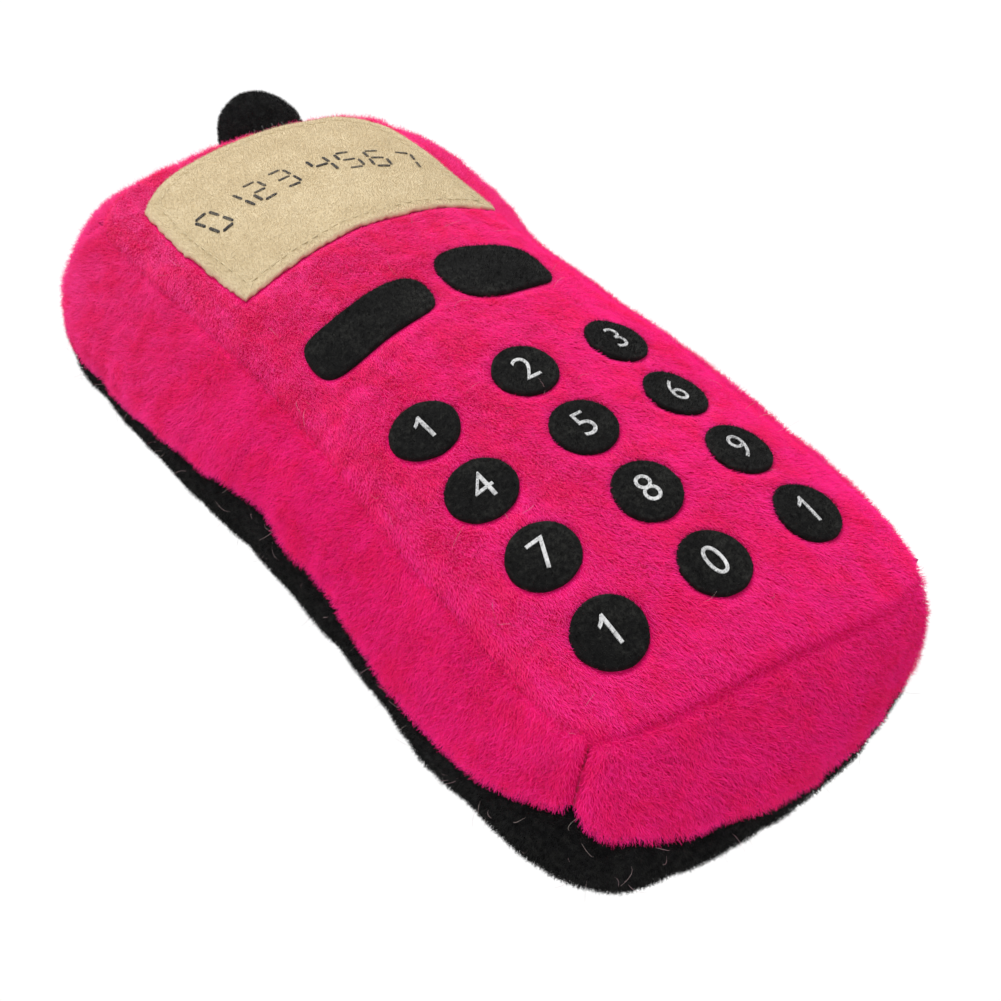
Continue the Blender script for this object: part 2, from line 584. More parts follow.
def add_pile(obj, density, length, radius, material, nap, seed, spread=0.55, curl=0.35,
             lean=0.5):
    """density is per square mm; nap is the direction the fibres lie towards."""
    name = "pile_" + obj.name
    group = bpy.data.node_groups.new(name, "GeometryNodeTree")
    for way in ("INPUT", "OUTPUT"):
        group.interface.new_socket("Geometry", in_out=way, socket_type="NodeSocketGeometry")
    add = partial(add_node, group)

    def maths(operation, *values):
        return add("ShaderNodeMath", dict(enumerate(values)), operation=operation)

    def vectors(operation, *values):
        return add("ShaderNodeVectorMath", dict(enumerate(values)), operation=operation)

    def random_float(low, high, seed_step):
        return add("FunctionNodeRandomValue", {2: low, 3: high, "Seed": seed + seed_step},
                   output=1, data_type="FLOAT")

    skin = add("GeometryNodeObjectInfo", {"Object": obj}, output="Geometry",
               transform_space="RELATIVE")
    cover = add("GeometryNodeInputNamedAttribute", {"Name": "pile"}, data_type="FLOAT")
    roots = add("GeometryNodeDistributePointsOnFaces",
                {"Mesh": skin, "Density": maths("MULTIPLY", cover, density * 1e6),
                 "Seed": seed}, output="Points", distribute_method="RANDOM")

    # surface normal, nap, slow wandering in patches and each fibre's own lean
    position = add("GeometryNodeInputPosition")
    direction = vectors("ADD", roots.node.outputs["Normal"], tuple(c * lean for c in nap))
    for scale, detail_level, strength in ((110.0, 2.0, 1.6), (420.0, 1.0, 1.5)):
        patches = add("ShaderNodeTexNoise", {"Vector": position, "Scale": scale,
                                             "Detail": detail_level}, output="Color")
        centred = vectors("SUBTRACT", patches, (0.5, 0.5, 0.5))
        wander = add("ShaderNodeVectorMath", {0: centred, "Scale": strength},
                     operation="SCALE")
        direction = vectors("ADD", direction, wander)
    own_lean = add("FunctionNodeRandomValue",
                   {0: (-spread,) * 3, 1: (spread,) * 3, "Seed": seed + 3},
                   data_type="FLOAT_VECTOR")
    direction = vectors("ADD", direction, own_lean)
    upright = add("FunctionNodeAlignRotationToVector",
                  {"Vector": vectors("NORMALIZE", direction)}, axis="Z")
    spin = add("ShaderNodeCombineXYZ", {2: random_float(-3.14, 3.14, 5)})
    rotation = add("FunctionNodeRotateRotation", {0: upright, 1: spin},
                   rotation_space="LOCAL")

    metres = length * MM
    fibre = add("GeometryNodeCurveQuadraticBezier", {
        "Resolution": 3,
        "Start": (0, 0, 0),
        "Middle": (0.02 * metres, 0, 0.62 * metres),
        "End": (curl * 0.9 * metres, 0, 0.95 * metres)})
    # fibres are shorter where the pile attribute falls away towards a seam
    shortening = maths("ADD", maths("MULTIPLY", maths("MINIMUM", cover, 1.0), 0.6), 0.4)
    scale = maths("MULTIPLY", random_float(0.62, 1.12, 9), shortening)
    fibres = add("GeometryNodeInstanceOnPoints", {
        "Points": roots, "Instance": fibre, "Rotation": rotation, "Scale": scale})
    real = add("GeometryNodeRealizeInstances", {0: fibres})
    along = add("GeometryNodeSplineParameter", output="Factor")
    taper = maths("SUBTRACT", 1.0, maths("MULTIPLY", along, 0.65))
    thick = add("GeometryNodeSetCurveRadius", {
        "Curve": real, "Radius": maths("MULTIPLY", taper, radius * MM)})
    coloured = add("GeometryNodeSetMaterial", {0: thick, "Material": material})
    group.links.new(coloured, group.nodes.new("NodeGroupOutput").inputs[0])

    hair = bpy.data.hair_curves.new(name)
    hair.materials.append(material)
    pile = bpy.data.objects.new(name, hair)
    scene.collection.objects.link(pile)
    pile.modifiers.new("pile", "NODES").node_group = group


# ---- mesh helpers -----------------------------------------------------------------------------


def make_object(name, verts, faces, materials, pile=None, face_material=None):
    """Smooth mesh object from millimetre vertices, its normals facing out."""
    mesh = bpy.data.meshes.new(name)
    mesh.from_pydata((np.asarray(verts) * MM).tolist(), [],
                     [list(map(int, face)) for face in faces])
    mesh.update()
    for material in materials:
        mesh.materials.append(material)
    if face_material is not None:
        mesh.polygons.foreach_set("material_index", np.asarray(face_material, np.int32))
    mesh.polygons.foreach_set("use_smooth", np.ones(len(mesh.polygons), bool))
    if pile is not None:
        attribute = mesh.attributes.new("pile", "FLOAT", "POINT")
        attribute.data.foreach_set("value", np.asarray(pile, np.float32))
    bm = bmesh.new()
    bm.from_mesh(mesh)
    bmesh.ops.recalc_face_normals(bm, faces=bm.faces)
    bm.to_mesh(mesh)
    bm.free()
    obj = bpy.data.objects.new(name, mesh)
    scene.collection.objects.link(obj)
    return obj


def register(obj, replaced, ride=None):
    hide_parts(replaced)
    if ride:
        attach(obj, ride)


def follow_press(obj):
    """Moves with the body below 'start' and with the pressed front above 'end' (metres)."""
    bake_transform(obj)


def grid_normals(grid, closed=False):
    if closed:
        across = np.roll(grid, -1, 0) - np.roll(grid, 1, 0)
    else:
        across = np.gradient(grid, axis=0)
    return unit(np.cross(across, np.gradient(grid, axis=1)))


def grid_faces(rows, columns, closed, base=0, flip=False):
    """Quads over a grid of vertices; 'closed' joins its last row to its first."""
    row, column = np.meshgrid(np.arange(rows if closed else rows - 1),
                              np.arange(columns - 1), indexing="ij")
    here = row * columns + column
    beside = (row + 1) % rows * columns + column
    quads = np.stack([here, beside, beside + 1, here + 1], -1).reshape(-1, 4) + base
    return quads[:, ::-1] if flip else quads


def shell_faces(rows, columns, closed=False, flip=False, end_rim=True):
    """Faces of an outer grid, the inner grid numbered after it, and the rims between."""
    count = rows * columns
    index = np.arange(count).reshape(rows, columns)
    loop = np.append(np.arange(rows), 0) if closed else np.arange(rows)
    parts = [grid_faces(rows, columns, closed, 0, flip),
             grid_faces(rows, columns, closed, count, not flip)]
    rims = [(index[loop, 0], not flip)]
    if end_rim:
        rims.append((index[loop, -1], flip))
    if not closed:
        rims += [(index[0], flip), (index[-1], not flip)]
    for line, reverse in rims:
        first, second = line[:-1], line[1:]
        quads = np.stack([first, second, second + count, first + count], -1)
        parts.append(quads[:, ::-1] if reverse else quads)
    return np.vstack(parts)


def cloth_shell(grid, thickness, pile, outward, closed=False, end_rim=True):
    """Cloth with 'grid' as its outside: vertices, faces, face materials, pile values."""
    rows, columns = grid.shape[:2]
    normals = grid_normals(grid, closed)
    flip = (normals * outward).sum(-1).mean() < 0
    if flip:
        normals = -normals
    inner = grid - normals * thickness
    verts = np.vstack([grid.reshape(-1, 3), inner.reshape(-1, 3)])
    faces = shell_faces(rows, columns, closed, flip, end_rim)
    outer_count = (rows if closed else rows - 1) * (columns - 1)
    face_material = np.arange(len(faces)) >= outer_count
    return verts, faces, face_material, np.append(pile, np.zeros(rows * columns))


def facing_up(verts, faces):
    """The faces, all reversed if the first one faces down."""
    corners = verts[faces[0]]
    if np.cross(corners[1] - corners[0], corners[2] - corners[0])[2] < 0:
        return [face[::-1] for face in faces]
    return faces


def blend_sides(left, top, right, bottom):
    """Grid filling four sides: bottom and top run left to right, the others upwards."""
    across = np.linspace(0, 1, len(top))[:, None, None]
    up = np.linspace(0, 1, len(left))[None, :, None]
    return ((1 - up) * bottom[:, None] + up * top[:, None]
            + (1 - across) * left[None] + across * right[None]
            - ((1 - across) * (1 - up) * left[0] + (1 - across) * up * left[-1]
               + across * (1 - up) * right[0] + across * up * right[-1]))


def open_spline(points, count):
    """Natural cubic through points, sampled evenly by arc length."""
    points = np.array(points, float)
    size = len(points)
    system = 4 * np.eye(size) + np.eye(size, k=1) + np.eye(size, k=-1)
    system[0, 0] = system[-1, -1] = 2
    padded = np.vstack([points[:1], points, points[-1:]])
    slopes = np.linalg.solve(system, 3 * (padded[2:] - padded[:-2]))
    steps = np.linspace(0, size - 1, 400)
    i = np.minimum(steps.astype(int), size - 2)
    line = hermite((steps - i)[:, None], points[i], slopes[i], points[i + 1], slopes[i + 1])
    lengths = run_length(line)
    return points_at(np.linspace(0, lengths[-1], count), lengths, line)


def patch_sides(across, up):
    """The screen patch's left, top, right and bottom, as blend_sides wants them."""
    low_left, top_left, top_right, low_right = PATCH_CORNERS
    return (open_spline(PATCH[low_left:top_left + 1], up),
            open_spline(PATCH[top_left:top_right + 1], across),
            open_spline(PATCH[top_right:low_right + 1][::-1], up),
            open_spline((PATCH[low_right:] + PATCH[:1])[::-1], across))


def signed_distance(xy, outline):
    """Distance to a closed polygon, negative inside."""
    x, y = xy[..., 0], xy[..., 1]
    nearest = np.full(x.shape, 1e9)
    inside = np.zeros(x.shape, bool)
    for start, end in zip(outline, np.roll(outline, -1, 0)):
        side = end - start
        share = clamp(((xy - start) @ side) / (side @ side + 1e-12))
        offset = xy - (start + share[..., None] * side)
        nearest = np.minimum(nearest, (offset * offset).sum(-1))
        spans = (start[1] > y) != (end[1] > y)
        inside ^= spans & (x < side[0] * (y - start[1]) / (side[1] + 1e-12) + start[0])
    distance = np.sqrt(nearest)
    return np.where(inside, -distance, distance)


def key_distance(xy, centre):
    return np.hypot(xy[..., 0] - centre[0], xy[..., 1] - centre[1]) - KEY_RADIUS


def patch_outline():
    left, top, right, bottom = patch_sides(24, 18)
    return np.vstack([left[:-1], top[:-1], right[::-1][:-1], bottom[::-1][:-1]])


PATCH_OUTLINE = patch_outline()
patch_distance = partial(signed_distance, outline=PATCH_OUTLINE)
SOFT_DISTANCES = [partial(signed_distance, outline=curve(np.arange(60) * curve.count / 60.0))
                  for curve in (SOFT_LEFT, SOFT_RIGHT)]
KEY_DISTANCES = [partial(key_distance, centre=centre) for _, centre, _ in KEYS]


def applique_distance(xy):
    """Distance to the nearest sewn-on piece of the front."""
    measures = [patch_distance, *SOFT_DISTANCES, *KEY_DISTANCES]
    return np.minimum.reduce([measure(xy) for measure in measures])


def cloth_grain(points, seed):
    """Fine roughness of the pink cloth."""
    return 0.16 * fbm(points, 2.2, 3, seed) + 0.07 * noise3(points, 0.8, seed + 10)


# ---- front panel ------------------------------------------------------------------------------

# Outline parameters where the front panel's grid has its corners.
LOW_LEFT, TOP_LEFT, TOP_RIGHT, LOW_RIGHT = 3.0, 12.0, 18.0, 27.0


def build_front():
    across = np.linspace(0, 1, detail(144))
    up = np.linspace(0, 1, detail(330))
    plan = blend_sides(FRONT_EDGE(LOW_LEFT + (TOP_LEFT - LOW_LEFT) * up),
                       FRONT_EDGE(TOP_LEFT + (TOP_RIGHT - TOP_LEFT) * across),
                       FRONT_EDGE(LOW_RIGHT + (TOP_RIGHT - LOW_RIGHT) * up),
                       FRONT_EDGE(LOW_LEFT + (LOW_RIGHT - EDGE_COUNT - LOW_LEFT) * across))
    inward, arc = nearest_on(plan, FRONT_EDGE)
    outside = applique_distance(plan)
    top = front_top(plan)
    z = top - SKIN
    rest = with_z(plan, z)
    low_end = clamp((-62.0 - plan[..., 1]) / 6.0)
    # the cloth rolls down into the seam and puckers beside it
    roll = clamp(1 - inward / 2.6)
    z = z - (1.3 + 0.7 * low_end) * roll**2.2
    z = z + 0.22 * pucker(arc, 5) * np.exp(-inward / 6.0) * (1 - roll**2)
    # it swells round the sewn-on pieces and is drawn in at and under them
    swell = 0.12 * hump((np.clip(outside, 0, None) - 1.8) / 1.3) * (outside > 0)
    z = z + swell - 0.12 * hump(outside / 0.6)
    z = np.where(outside < 0, np.minimum(z, top - 1.0), z)
    z = z + np.where(outside > 0, cloth_grain(rest, 21), 0)
    pile = np.where(outside > 0.12, clamp(0.35 + (outside - 0.12) / 1.5), 0.0)
    pile = pile * (clamp(0.7 + inward / 4.0) * (1 - low_end)
                   + clamp(0.3 + (inward - 0.5) / 2.2) * low_end)
    verts, faces, face_material, pile = cloth_shell(
        with_z(plan, z), THICKNESS, pile, outward=np.array([0, 0, 1.0]))
    obj = make_object("front_panel_plush", verts, faces, [PINK_PLUSH, LINING], pile,
                      face_material)
    register(obj, "front_panel", "front_face")
    add_pile(obj, density=23.0, length=1.6, radius=0.036, material=FRONT_PILE,
             nap=(-0.12, -1.0, 0.0), seed=11, lean=1.7, spread=0.5, curl=0.2)
    return obj


front_panel = build_front()

# ---- side gussets -----------------------------------------------------------------------------


def build_gusset(name, replaced, first, last, seed, count):
    """Pink side strip between two corner seams, from the back seam up to the front seam."""
    front_start, front_end = corner_span(FRONT_AT, first, last)
    back_start, back_end = corner_span(BACK_AT, first, last)
    # even steps by arc length on the front outline
    share = np.linspace(0, 1, 2000)
    lengths = run_length(FRONT_EDGE(front_start + (front_end - front_start) * share))
    share = np.interp(np.linspace(0, lengths[-1], count), lengths, share)
    front_at = front_start + (front_end - front_start) * share
    back_at = (back_start + (back_end - back_start) * share)[:, None]
    columns = detail(44)
    up = np.linspace(0, 1, columns)[None, :]
    top = front_z(FRONT_EDGE(front_at))[:, None] - 1.0
    bottom = SEAM_Z + SEAM_GAP + seam_lift(back_at)
    z = bottom + (top - bottom) * up
    rest = with_z(side_xy(back_at, z), z)
    normals = grid_normals(rest)
    if (normals[..., 2] < 0).mean() > 0.5:
        normals = -normals

    height = np.linalg.norm(rest[:, -1] - rest[:, 0], axis=1)[:, None]
    from_low, from_top = up * height, (1 - up) * height
    run = run_length(rest[:, columns // 2])
    from_end = np.minimum(run, run[-1] - run)[:, None]
    front_arc, back_arc = FRONT_EDGE.arc(front_at)[:, None], BACK_EDGE.arc(back_at)
    # drawn in at the seams
    dip = np.maximum(1.1 * clamp(1 - from_top / 2.4) ** 2.2,
                     1.2 * clamp(1 - from_low / 2.6) ** 2.2)
    out = -np.maximum(dip, 1.35 * clamp(1 - from_end / 3.0) ** 2)
    # puckered beside them
    out = out + 0.22 * pucker(front_arc, 5) * np.exp(-from_top / 6.0) * clamp(from_top / 1.5)
    out += 0.42 * pucker(back_arc, 9) * np.exp(-from_low / 5.5) * clamp(from_low / 1.2)
    # uneven stuffing and fine grain
    out += 0.5 * fbm(rest, 22.0, 2, seed) + 0.3 * fbm(rest, 8.0, 2, seed + 1)
    out += 0.16 * fbm(rest, 2.2, 3, seed + 2) + 0.07 * noise3(rest, 0.8, seed + 3)
    grid = rest + normals * out[..., None]
    # the seam itself wanders a little up and down
    grid[..., 2] += 0.55 * pucker(back_arc, 19) * np.exp(-from_low / 3.0)

    edge = np.minimum(np.minimum(from_top, from_low), from_end)
    closed_edge = np.minimum(from_end, from_top) if name.startswith("bottom") else from_end
    # beyond 99 mm the limit is 1 either way
    pile = np.minimum(clamp(0.75 + edge / 4.0), clamp(0.3 + (closed_edge - 0.4) / 2.0))
    verts, faces, face_material, pile = cloth_shell(grid, THICKNESS, pile, outward=normals)
    obj = make_object(name, verts, faces, [PINK_PLUSH, LINING], pile, face_material)
    register(obj, replaced)
    return obj


# (name, replaced piece, first corner, last corner, noise seed, steps along, nap)
GUSSETS = (
    ("left_gusset_plush", "left_side_gusset", "bl", "tl", 40, 420, (-0.5, -0.35, -0.85)),
    ("top_gusset_plush", "top_end_gusset", "tl", "tr", 50, 210, (0.0, 0.5, -0.9)),
    ("right_gusset_plush", "right_side_gusset", "tr", "br", 60, 420, (0.5, -0.35, -0.85)),
    ("bottom_gusset_plush", "bottom_end_gusset", "br", "bl", 70, 190, (0.0, -0.5, -0.9)))

gussets = [build_gusset(*row[:5], detail(row[5])) for row in GUSSETS]
for i, gusset in enumerate(gussets):
    follow_press(gusset)
    add_pile(gusset, density=20.0, length=1.65, radius=0.038, material=PINK_PILE,
             nap=GUSSETS[i][6], seed=101 + i, lean=0.8)

# ---- back panel: black side and underside -----------------------------------------------------


def build_back():
    around = detail(820)
    last_place = 29.9999
    steps = np.linspace(0, last_place, 3000)
    place = np.interp(
        np.linspace(0, 1, around, endpoint=False) * BACK_EDGE.arc(last_place),
        BACK_EDGE.arc(steps), steps)
    arc = BACK_EDGE.arc(place)[:, None]
    # the side, from the seam down and under
    down = np.sin(np.linspace(0, math.pi / 2, detail(34))) ** (2 / BACK_POWER)
    z = (SEAM_Z - SEAM_GAP + seam_lift(place))[:, None] * (1 - down)
    side_grid = with_z(side_xy(place[:, None], z), z + 0.35 * down)
    # the underside, as rings shrinking onto a spine along y
    last = side_grid[:, -1]
    spine = last.copy()
    spine[:, 0] = 0
    spine[:, 1] = np.clip(last[:, 1], -52, 56)
    width = (1 - 0.985 * np.linspace(0, 1, 22)[1:])[None, :, None]
    rest = np.concatenate([side_grid, spine[:, None] + (last - spine)[:, None] * width], 1)
    columns = rest.shape[1]
    normals = grid_normals(rest, closed=True)
    if (normals[:, 5, :2] * BACK_EDGE.normal(place)).sum(-1).mean() < 0:
        normals = -normals

    steps_down = np.cumsum(np.linalg.norm(np.diff(rest, axis=1), axis=2), 1)
    from_seam = np.concatenate([np.zeros((around, 1)), steps_down], 1)
    side = clamp((rest[..., 2] - 0.8) / 3.0)
    out = -1.4 * clamp(1 - from_seam / 3.0) ** 2.2
    out = out - 0.30 * pucker(arc, 9) * np.exp(-from_seam / 6.0) * clamp(from_seam / 1.2)
    out = out + side * (0.6 * fbm(rest, 20.0, 2, 80) + 0.55 * fbm(rest, 7.0, 2, 81))
    out = out + side * (0.07 * fbm(rest, 1.2, 2, 83))
    grid = rest + normals * out[..., None]
    grid[..., 2] += 0.55 * pucker(arc, 19) * np.exp(-from_seam / 3.0)
    grid[..., 2] += (1 - side) * 0.12 * (1 + fbm(rest, 16.0, 2, 85))
    grid[..., 2] = np.maximum(grid[..., 2], 0.12)
    pile = clamp(0.6 + from_seam / 3.0) * clamp((grid[..., 2] - 1.2) / 1.5)
    verts, faces, face_material, pile = cloth_shell(
        grid, THICKNESS, pile, outward=normals, closed=True, end_rim=False)

    # close the underside by pairing left and right points of the last ring across the spine
    faces, face_material = list(faces), list(face_material)
    ring = np.arange(around) * columns + columns - 1
    for i in range(around // 2 - 1):
        quad = [ring[i], ring[i + 1], ring[around - 2 - i], ring[around - 1 - i]]
        faces += [quad[::-1], [corner + around * columns for corner in quad]]
        face_material += [0, 1]
    obj = make_object("back_panel_plush", verts, faces, [BLACK_PLUSH, BLACK_PLUSH], pile,
                      face_material)
    register(obj, "back_panel")
    follow_press(obj)
    add_pile(obj, density=14.0, length=1.05, radius=0.036, material=BLACK_PILE,
             nap=(0, 0, -0.6), seed=201, spread=0.8)
    add_pile(obj, density=0.035, length=2.4, radius=0.022, material=LINT,
             nap=(0, 0, -0.6), seed=211, spread=1.0, curl=1.2)


build_back()
add_pile(front_panel, density=0.006, length=3.0, radius=0.02, material=LINT,
         nap=(0, -0.4, 0), seed=212, spread=1.4, curl=1.1)

# ---- screen patch and its running stitch ------------------------------------------------------

STITCH_INSET = 2.1      # running stitch, in from the patch's edge
STITCH_PITCH = 2.3


def rounded_top(plan, inward, edge_radius, drop):
    """Top of a sewn-on piece, its edge rounded down by 'drop'."""
    edge = clamp(1 - inward / edge_radius)
    return front_top(plan) + APPLIQUE_RISE - drop * (1 - np.sqrt(clamp(1 - edge**2)))


def patch_relief(xy, inward):
    """Groove and pucker under the running stitch, then cloth roughness."""
    points = with_z(xy, 0)
    from_stitch = inward - STITCH_INSET
    groove = -0.14 * hump(from_stitch / 0.6)
    puckers = 0.10 * np.sin(xy[..., 0] * 2.03 + xy[..., 1] * 2.03) * hump(from_stitch / 1.2)
    return groove + puckers + 0.05 * fbm(points, 1.1, 2, 305) + 0.12 * fbm(points, 6.0, 2, 306)


def build_patch():
    plan = blend_sides(*patch_sides(detail(150), detail(120)))
    # a hand-cut, slightly frayed edge
    points = with_z(plan, 0)
    fray = 0.22 * noise3(points, 2.1, 301) + 0.16 * noise3(points, 0.9, 302)
    near_edge = np.exp(-np.clip(-patch_distance(plan), 0, None) / 0.7)
    plan = plan + unit(plan - plan.mean((0, 1))) * (fray * near_edge)[..., None]

    inward = np.clip(-patch_distance(plan), 0, None)
    top = rounded_top(plan, inward, edge_radius=0.6, drop=0.55) + patch_relief(plan, inward)
    low = front_top(plan) - APPLIQUE_DEPTH
    top = np.maximum(top, low + 0.12)
    verts = np.vstack([with_z(plan, top).reshape(-1, 3), with_z(plan, low).reshape(-1, 3)])
    faces = facing_up(verts, shell_faces(*plan.shape[:2]))
    pile = np.append(np.clip(inward / 0.3, 0.3, 1), np.zeros(top.size))
    obj = make_object("screen_patch_velour", verts, faces, [CREAM_VELOUR], pile)
    register(obj, "screen_patch", "front_face")
    add_pile(obj, density=16.0, length=0.45, radius=0.03, material=CREAM_PILE,
             nap=(0, -0.5, 0), seed=301, spread=0.8)


def stitch_mesh(path, radius, sides):
    """Little closed sausage along a path: one stitch."""
    path = np.asarray(path, float)
    count = len(path)
    tangent = unit(np.gradient(path, axis=0))
    across = unit(np.cross(tangent, np.array([0, 0, 1.0])))
    upward = np.cross(across, tangent)
    radii = radius * np.sqrt(np.clip(1 - np.linspace(-1, 1, count) ** 6, 0.02, 1))
    angles = (np.arange(sides) * 2 * np.pi / sides)[None, :, None]
    rings = path[:, None] + radii[:, None, None] * (
        np.cos(angles) * across[:, None] + np.sin(angles) * upward[:, None])
    faces, ends = [], []
    for j in range(sides):
        k = (j + 1) % sides
        ends.append([count * sides, k, j])
        last = (count - 1) * sides
        ends.append([count * sides + 1, last + j, last + k])
    for i in range(count - 1):
        here, beyond = i * sides, (i + 1) * sides
        for j in range(sides):
            k = (j + 1) % sides
            faces.append([here + j, here + k, beyond + k, beyond + j])
    return np.vstack([rings.reshape(-1, 3), path[0], path[-1]]), faces + ends


def build_stitches(name, paths, radius, sides, material, replaced, slot, ride=None):
    """One object from many stitches."""
    verts, faces, count = [], [], 0
    for path in paths:
        part, part_faces = stitch_mesh(path, radius, sides)
        verts.append(part)
        faces += [[corner + count for corner in face] for face in part_faces]
        count += len(part)
    obj = make_object(name, np.vstack(verts), faces, [material])
    register(obj, replaced, ride)
    return obj


def inset_line(line, outline, depth):
    """Moves points until they lie 'depth' inside an outline."""
    probe = 0.05
    for _ in range(24):
        distance = signed_distance(line, outline)
        gradient = [signed_distance(line + step, outline) - signed_distance(line - step, outline)
                    for step in (np.array([probe, 0]), np.array([0, probe]))]
        step = np.clip(distance + depth, -0.4, 0.4)
        line = line - unit(np.stack(gradient, -1)) * step[:, None]
    return line


def build_running_stitch():
    samples = 1200
    dense, _ = resample_closed(PATCH_OUTLINE, 400)
    # follow the polygon through the dense points, starting a little inside it
    line = dense + unit(dense.mean(0) - dense) * 0.6
    line = inset_line_from(line, dense)
    line, total = resample_closed(line, samples)
    count = int(total / STITCH_PITCH)
    random = np.random.default_rng(4)
    along = np.linspace(-1, 1, 7)
    half = samples / count * 0.40
    paths = []
    for i in range(count):
        middle = (i + 0.5) / count * samples
        index = (middle + np.linspace(-half, half, 7)).astype(int) % samples
        plan = line[index]
        bow = 0.10 * (1 - along**2)
        z = front_top(plan) + APPLIQUE_RISE - 0.16 + bow - 0.16 * np.abs(along) ** 3
        paths.append(with_z(plan + random.normal(0, 0.05, 2), z))
    build_stitches("screen_running_stitch", paths, radius=0.2, sides=8,
                   material=CREAM_THREAD, replaced="screen_stitching", slot="cream_thread",
                   ride="front_face")


def inset_line_from(start, dense):
    """The stitch line: the inset is measured from the pulled-in outline itself."""
    return inset_line(start, start, STITCH_INSET)


build_patch()
build_running_stitch()

# ---- soft keys and round keys -----------------------------------------------------------------


def shrinking_grid(outline, rings):
    """Plan grid of a closed outline, from its edge nearly to its centre."""
    centre = outline.mean(0)
    inward = np.concatenate([np.linspace(0, 0.25, rings // 2, endpoint=False),
                             np.linspace(0.25, 0.98, rings - rings // 2)])
    return centre + (outline[:, None] - centre) * (1 - inward)[None, :, None]


def build_felt(piece, outline, distance, edge_radius, dish, seed):
    """Felt piece on the front; dish(inward) shapes its top."""
    plan = shrinking_grid(outline, detail(26))
    rows, columns = plan.shape[:2]
    count = rows * columns
    inward = np.clip(-distance(plan), 0, None)
    points = with_z(plan, 0)
    top = rounded_top(plan, inward, edge_radius, drop=0.5) + dish(inward)
    top = top + 0.05 * fbm(points, 0.9, 2, seed) + 0.10 * fbm(points, 4.0, 2, seed + 1)
    low = front_top(plan) - APPLIQUE_DEPTH
    top = np.maximum(top, low + 0.15)
    verts = np.vstack([with_z(plan, top).reshape(-1, 3), with_z(plan, low).reshape(-1, 3)])
    faces = [list(face) for face in shell_faces(rows, columns, closed=True, end_rim=False)]
    # fans close the middle, above and below
    ring = np.arange(rows) * columns + columns - 1
    verts = np.vstack([verts, verts[ring].mean(0), verts[ring + count].mean(0)])
    for here, beside in zip(ring, np.roll(ring, -1)):
        faces.append([here, beside, 2 * count])
        faces.append([beside + count, here + count, 2 * count + 1])
    pile = np.concatenate([np.clip(inward / 0.3, 0.4, 1).ravel(), np.zeros(count), [1.0, 0.0]])
    obj = make_object(piece + "_felt", verts, facing_up(verts, faces), [BLACK_FELT], pile)
    register(obj, piece, "front_face")
    add_pile(obj, density=12.0, length=0.5, radius=0.035, material=BLACK_PILE,
             nap=(0, -0.3, 0), seed=seed, spread=0.9)


def soft_key_dish(inward):
    return 0.05 * clamp(inward / 3.0)


def key_dish(inward):
    return -0.04 * hump((inward - 0.8) / 0.4)


def key_outline(centre, seed):
    """A slightly uneven circle."""
    random = np.random.default_rng(seed)
    angles = np.arange(detail(120)) * 2 * np.pi / detail(120)
    uneven = 1
    for lobes, amount in ((2, 0.012), (3, 0.008), (9, 0.004)):
        uneven = uneven + amount * np.sin(lobes * angles + random.uniform(0, 6))
    radius = KEY_RADIUS * uneven
    return np.c_[centre[0] + radius * np.cos(angles), centre[1] + radius * np.sin(angles)]


for piece, curve, distance in zip(("soft_key_left", "soft_key_right"),
                                  (SOFT_LEFT, SOFT_RIGHT), SOFT_DISTANCES):
    dense = curve(np.arange(400) * curve.count / 400.0)
    outline, _ = resample_closed(dense, detail(180))
    build_felt(piece, outline, distance, edge_radius=0.6, dish=soft_key_dish, seed=401)

for i, (piece, centre, _) in enumerate(KEYS):
    build_felt(piece, key_outline(centre, 500 + i), KEY_DISTANCES[i], edge_radius=0.5,
               dish=key_dish, seed=520 + i)

# ---- printed numerals, on the keys and on the screen ------------------------------------------

NUMERAL_HEIGHT = 5.2
# The numeral 1 (x, y) about its key's centre.
ONE_OUTLINE = 0.91 * np.array([
    (0.58, -2.8), (0.58, 2.8), (0.05, 2.8), (-0.55, 2.05), (-1.35, 1.5), (-1.35, 0.82),
    (-0.75, 1.1), (-0.12, 1.55), (-0.12, -2.8)])


def text_mesh(text, height):
    """Filled plan vertices and faces of a text, centred on the origin."""
    curve = bpy.data.curves.new("t", "FONT")
    curve.body = text
    curve.align_x = "CENTER"
    curve.align_y = "CENTER"
    curve.resolution_u = 6
    curve.fill_mode = "BOTH"
    curve.offset = -0.007
    obj = bpy.data.objects.new("t", curve)
    scene.collection.objects.link(obj)
    graph = bpy.context.evaluated_depsgraph_get()
    mesh = bpy.data.meshes.new_from_object(obj.evaluated_get(graph))
    verts = np.array([vert.co[:2] for vert in mesh.vertices], float)
    faces = [list(polygon.vertices) for polygon in mesh.polygons]
    bpy.data.objects.remove(obj)
    bpy.data.curves.remove(curve)
    bpy.data.meshes.remove(mesh)
    verts -= (verts.min(0) + verts.max(0)) / 2
    verts *= height / (verts[:, 1].max() - verts[:, 1].min())
    return verts, faces


